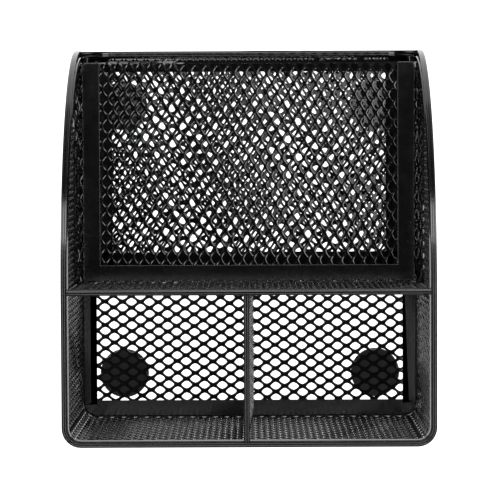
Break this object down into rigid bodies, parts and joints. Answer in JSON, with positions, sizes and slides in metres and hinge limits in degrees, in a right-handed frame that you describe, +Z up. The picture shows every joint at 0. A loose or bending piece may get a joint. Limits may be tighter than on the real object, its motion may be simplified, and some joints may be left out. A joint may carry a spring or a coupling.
{
  "type": "mesh desk organizer",
  "caption": "Free-standing desk organizer of enamelled expanded steel mesh with open rear compartments, a raised front tray and a sliding drawer under it.",
  "frame": {"origin": "centre of the base at the underside of the feet", "axes": "+Z up; -Y towards the front, the way the drawer opens; +X to the right of someone facing the front"},
  "size_m": [0.1544, 0.167, 0.104],
  "materials": {
    "mesh_enamel": "semi-gloss black stoved enamel on expanded steel mesh",
    "rim_enamel": "gloss black stoved enamel on rolled steel strip",
    "foot_pad": "matte black foam rubber"
  },
  "bodies": {
    "organizer": {"base_mesh": "mesh_enamel", "base_frame": "rim_enamel", "wall_mesh": "mesh_enamel", "wall_rim": "rim_enamel", "cross_divider_mesh": "mesh_enamel", "cross_divider_rod": "rim_enamel", "middle_divider_mesh": "mesh_enamel", "middle_divider_rod": "rim_enamel", "tray_mesh": "mesh_enamel", "tray_frame": "rim_enamel", "tray_front_hem": "rim_enamel", "guide_rod_left": "rim_enamel", "guide_rod_right": "rim_enamel", "foot_front_left": "foot_pad", "foot_front_right": "foot_pad", "foot_rear_left": "foot_pad", "foot_rear_right": "foot_pad"},
    "drawer": {"drawer_floor_mesh": "mesh_enamel", "drawer_floor_frame": "rim_enamel", "drawer_wall_left": "mesh_enamel", "drawer_wall_right": "mesh_enamel", "drawer_wall_rear": "mesh_enamel", "drawer_edge_rim": "rim_enamel", "drawer_front_mesh": "mesh_enamel", "drawer_front_rim": "rim_enamel"}
  },
  "joints": [
    {"name": "drawer_slide", "type": "slide", "parent": "organizer", "child": "drawer", "axis": [0, -1, 0], "range_m": [0, 0.085]}
  ]
}
